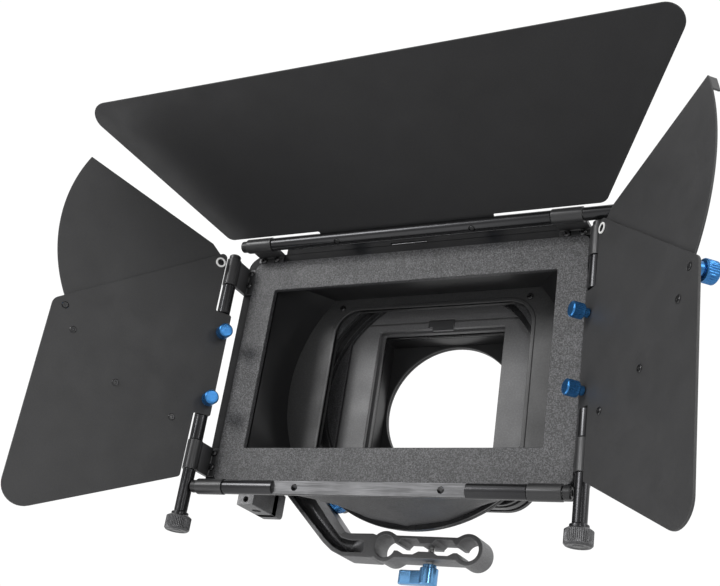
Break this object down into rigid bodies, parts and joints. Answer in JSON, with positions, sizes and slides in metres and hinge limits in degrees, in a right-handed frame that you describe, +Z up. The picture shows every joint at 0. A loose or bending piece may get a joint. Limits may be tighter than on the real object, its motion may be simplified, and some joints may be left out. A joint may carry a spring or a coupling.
{
  "type": "matte box",
  "caption": "Swing-away matte box: tapering lens hood with hinged barn-door flags and fold-out fans, rotating filter stage with slide-in trays, and an arm to a twin-rod clamp.",
  "frame": {"origin": "middle of the rod clamp's front face, half way between the two rod bores", "axes": "+Y rearwards along the rods and the optical axis, towards the camera body; -Y is where the hood opens; +Z up; +X to the right of someone who stands in front of the hood and looks at it"},
  "size_m": [0.4245, 0.2231, 0.2783],
  "materials": {
    "textured_black": "fine-textured moulded plastic",
    "smooth_black": "smooth satin plastic",
    "flag_black": "fine satin black paint on thin aluminium sheet",
    "black_anodised": "satin black",
    "bar_metal": "polished black anodised, machined and knurled",
    "grey_metal": "bead-blasted dark anodised",
    "blue_anodised": "bright blue anodised, knurled",
    "bright_steel": "bright"
  },
  "bodies": {
    "support": {"support_arm": "grey_metal", "swing_hinge_block": "grey_metal", "swing_pin": "bright_steel"},
    "clamp_lever": {"clamp_lever": "blue_anodised"},
    "swing_lock": {"swing_lock_knob": "blue_anodised"},
    "hood": {"swing_lug": "black_anodised", "front_frame": "textured_black", "hood_shell": "textured_black", "hood_liner": "smooth_black", "aperture_plate": "smooth_black", "fixed_ring": "black_anodised", "top_bracket_left": "black_anodised", "top_bracket_right": "black_anodised", "bottom_bracket_left": "black_anodised", "bottom_bracket_right": "black_anodised", "left_bracket_upper": "black_anodised", "left_bracket_lower": "black_anodised", "right_bracket_upper": "black_anodised", "right_bracket_lower": "black_anodised"},
    "stage": {"stage_ring": "black_anodised", "stage_housing": "textured_black", "lens_adapter": "black_anodised"},
    "tray_front": {"filter_tray_front": "black_anodised", "filter_clip": "bar_metal"},
    "tray_rear": {"filter_tray_rear": "black_anodised"},
    "top_leaf": {"top_bar": "bar_metal", "top_cap": "black_anodised", "top_flag": "flag_black"},
    "top_friction": {"top_friction_knob": "bar_metal"},
    "top_screw_left": {"top_flag_screw_left": "blue_anodised"},
    "top_screw_right": {"top_flag_screw_right": "blue_anodised"},
    "bottom_leaf": {"bottom_bar": "bar_metal", "bottom_cap_left": "black_anodised", "bottom_cap_right": "black_anodised"},
    "left_leaf": {"left_bar": "bar_metal", "left_cap": "black_anodised", "left_flag": "flag_black", "left_fan_pivot": "bright_steel", "left_guide_rivet_1": "black_anodised", "left_guide_rivet_2": "black_anodised", "left_guide_rivet_3": "black_anodised"},
    "left_fan": {"left_fan": "flag_black"},
    "left_fan_lock": {"left_fan_lock_knob": "blue_anodised"},
    "left_friction": {"left_friction_knob": "bar_metal"},
    "left_screw_upper": {"left_flag_screw_upper": "blue_anodised"},
    "left_screw_lower": {"left_flag_screw_lower": "blue_anodised"},
    "right_leaf": {"right_bar": "bar_metal", "right_cap": "black_anodised", "right_flag": "flag_black", "right_fan_pivot": "bright_steel", "right_guide_rivet_1": "black_anodised", "right_guide_rivet_2": "black_anodised", "right_guide_rivet_3": "black_anodised"},
    "right_fan": {"right_fan": "flag_black"},
    "right_fan_lock": {"right_fan_lock_knob": "blue_anodised"},
    "right_friction": {"right_friction_knob": "bar_metal"},
    "right_screw_upper": {"right_flag_screw_upper": "blue_anodised"},
    "right_screw_lower": {"right_flag_screw_lower": "blue_anodised"}
  },
  "joints": [
    {"name": "swing_away", "type": "hinge", "parent": "support", "child": "hood", "pos_m": [-0.1235, -0.0205, 0.0703], "axis": [0, 0, -1], "range_deg": [0, 100]},
    {"name": "clamp_lever_turn", "type": "hinge", "parent": "support", "child": "clamp_lever", "pos_m": [0, 0.0105, -0.0097], "axis": [0, 0, 1], "continuous": true},
    {"name": "swing_lock_turn", "type": "hinge", "parent": "support", "child": "swing_lock", "pos_m": [-0.0743, 0.0095, 0.0309], "axis": [0, 1, 0], "continuous": true},
    {"name": "stage_rotation", "type": "hinge", "parent": "hood", "child": "stage", "pos_m": [0, -0.0205, 0.1003], "axis": [0, 1, 0], "continuous": true},
    {"name": "tray_front_slide", "type": "slide", "parent": "stage", "child": "tray_front", "axis": [0, 0, 1], "range_m": [0, 0.12]},
    {"name": "tray_rear_slide", "type": "slide", "parent": "stage", "child": "tray_rear", "axis": [0, 0, 1], "range_m": [0, 0.12]},
    {"name": "top_flag_hinge", "type": "hinge", "parent": "hood", "child": "top_leaf", "pos_m": [0, -0.0945, 0.1873], "axis": [-1, 0, 0], "range_deg": [-6, 95]},
    {"name": "bottom_bar_hinge", "type": "hinge", "parent": "hood", "child": "bottom_leaf", "pos_m": [0, -0.0945, 0.0113], "axis": [1, 0, 0], "range_deg": [-90, 90]},
    {"name": "left_flag_hinge", "type": "hinge", "parent": "hood", "child": "left_leaf", "pos_m": [-0.1322, -0.0945, 0.1003], "axis": [0, 0, -1], "range_deg": [-34.9, 85]},
    {"name": "right_flag_hinge", "type": "hinge", "parent": "hood", "child": "right_leaf", "pos_m": [0.1322, -0.0945, 0.1003], "axis": [0, 0, 1], "range_deg": [-43.5, 27]},
    {"name": "top_friction_turn", "type": "hinge", "parent": "hood", "child": "top_friction", "pos_m": [0.15, -0.0945, 0.1873], "axis": [1, 0, 0], "continuous": true},
    {"name": "left_friction_turn", "type": "hinge", "parent": "hood", "child": "left_friction", "pos_m": [-0.1322, -0.0945, -0.0097], "axis": [0, 0, -1], "continuous": true},
    {"name": "right_friction_turn", "type": "hinge", "parent": "hood", "child": "right_friction", "pos_m": [0.1322, -0.0945, -0.0097], "axis": [0, 0, -1], "continuous": true},
    {"name": "top_screw_left_turn", "type": "hinge", "parent": "top_leaf", "child": "top_screw_left", "pos_m": [-0.0492, -0.09062, 0.1943], "axis": [0, 0.4848, 0.8746], "continuous": true},
    {"name": "top_screw_right_turn", "type": "hinge", "parent": "top_leaf", "child": "top_screw_right", "pos_m": [0.0492, -0.09062, 0.1943], "axis": [0, 0.4848, 0.8746], "continuous": true},
    {"name": "left_screw_upper_turn", "type": "hinge", "parent": "left_leaf", "child": "left_screw_upper", "pos_m": [-0.12564, -0.09908, 0.1187], "axis": [0.8202, -0.5721, 0], "continuous": true},
    {"name": "left_screw_lower_turn", "type": "hinge", "parent": "left_leaf", "child": "left_screw_lower", "pos_m": [-0.12564, -0.09908, 0.0701], "axis": [0.8202, -0.5721, 0], "continuous": true},
    {"name": "left_fan_pivot_turn", "type": "hinge", "parent": "left_leaf", "child": "left_fan", "pos_m": [-0.13767, -0.10409, 0.1703], "axis": [0.8202, -0.5721, 0], "range_deg": [0, 45]},
    {"name": "left_fan_lock_turn", "type": "hinge", "parent": "left_leaf", "child": "left_fan_lock", "pos_m": [-0.19737, -0.17918, 0.10426], "axis": [-0.8202, 0.5721, 0], "continuous": true},
    {"name": "right_screw_upper_turn", "type": "hinge", "parent": "right_leaf", "child": "right_screw_upper", "pos_m": [0.1264, -0.10001, 0.1187], "axis": [-0.7254, -0.6884, 0], "continuous": true},
    {"name": "right_screw_lower_turn", "type": "hinge", "parent": "right_leaf", "child": "right_screw_lower", "pos_m": [0.1264, -0.10001, 0.0701], "axis": [-0.7254, -0.6884, 0], "continuous": true},
    {"name": "right_fan_pivot_turn", "type": "hinge", "parent": "right_leaf", "child": "right_fan", "pos_m": [0.13905, -0.10317, 0.1703], "axis": [0.7254, 0.6884, 0], "range_deg": [0, 45]},
    {"name": "right_fan_lock_turn", "type": "hinge", "parent": "right_leaf", "child": "right_fan_lock", "pos_m": [0.2093, -0.16848, 0.10426], "axis": [0.7254, 0.6884, 0], "continuous": true}
  ]
}
